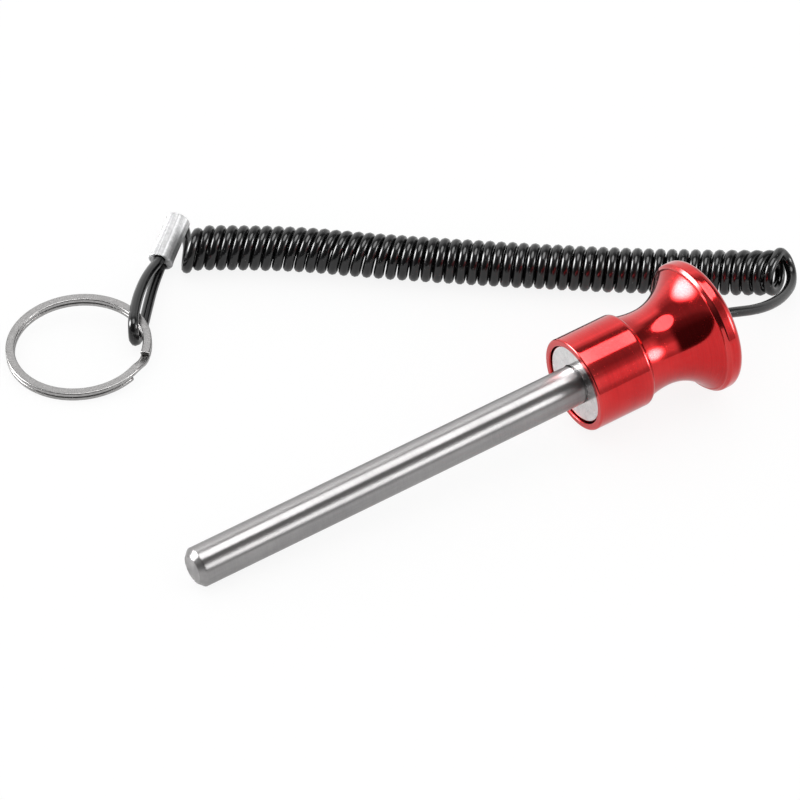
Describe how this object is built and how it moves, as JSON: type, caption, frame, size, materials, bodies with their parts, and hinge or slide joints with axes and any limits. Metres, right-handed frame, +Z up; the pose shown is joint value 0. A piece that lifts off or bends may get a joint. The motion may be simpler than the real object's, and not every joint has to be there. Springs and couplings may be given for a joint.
{
  "type": "weight stack pin",
  "caption": "Weight stack selector pin: steel pin in a red waisted knob with a ring magnet, and a black coiled lanyard with a crimped sleeve and a split key ring.",
  "frame": {"origin": "middle of the footprint of the lying pin and knob, on the surface they lie on", "axes": "+X level along the pin from its tip to its knob, +Y level toward the side where the coiled cord lies, +Z up"},
  "size_m": [0.1889, 0.1374, 0.0339],
  "materials": {
    "knob_red": "polished red anodised",
    "pin_steel": "satin ground stainless",
    "magnet_nickel": "dull nickel plated",
    "cord_black": "glossy black plastic-coated cord",
    "sleeve_aluminium": "bright, drawn",
    "ring_steel": "satin nickel-plated spring steel"
  },
  "bodies": {
    "pin_and_lanyard": {"knob": "knob_red", "selector_pin": "pin_steel", "ring_magnet": "magnet_nickel", "cord_stop": "sleeve_aluminium", "cord_tail": "cord_black", "cord_coil": "cord_black", "cord_loop": "cord_black", "crimp_sleeve": "sleeve_aluminium"},
    "key_ring": {"split_ring": "ring_steel"}
  },
  "joints": [
    {"name": "ring_swing", "type": "hinge", "parent": "pin_and_lanyard", "child": "key_ring", "pos_m": [-0.03623, 0.09025, 0.00441], "axis": [-0.0048, 0.9983, 0.0578], "range_deg": [0, 150]}
  ]
}
